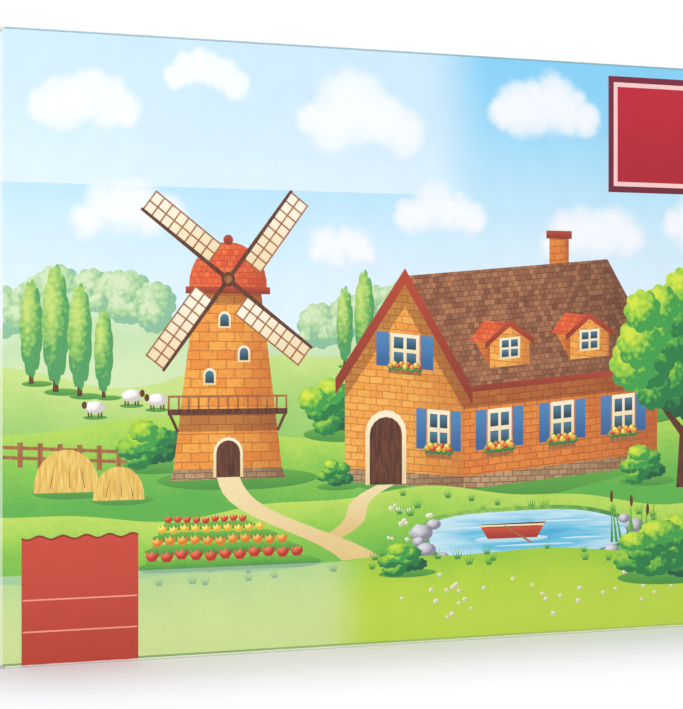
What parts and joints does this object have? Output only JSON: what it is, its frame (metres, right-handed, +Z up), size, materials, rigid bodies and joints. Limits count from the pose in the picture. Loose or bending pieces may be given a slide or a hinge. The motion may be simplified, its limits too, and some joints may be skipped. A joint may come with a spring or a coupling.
{
  "type": "craft kit carton",
  "caption": "Closed flat rectangular carton of a paper-craft kit, standing upright, with creased folds, tucked end panels, thumb notches and a printed front.",
  "frame": {"origin": "middle of the base that the carton stands on", "axes": "+Z up along the height, +X along the width, the printed front panel faces -Y"},
  "size_m": [0.38, 0.05, 0.28],
  "materials": {
    "printed_board": "printed and laminated, satin"
  },
  "bodies": {
    "root": {"carton": "printed_board"}
  },
  "joints": []
}
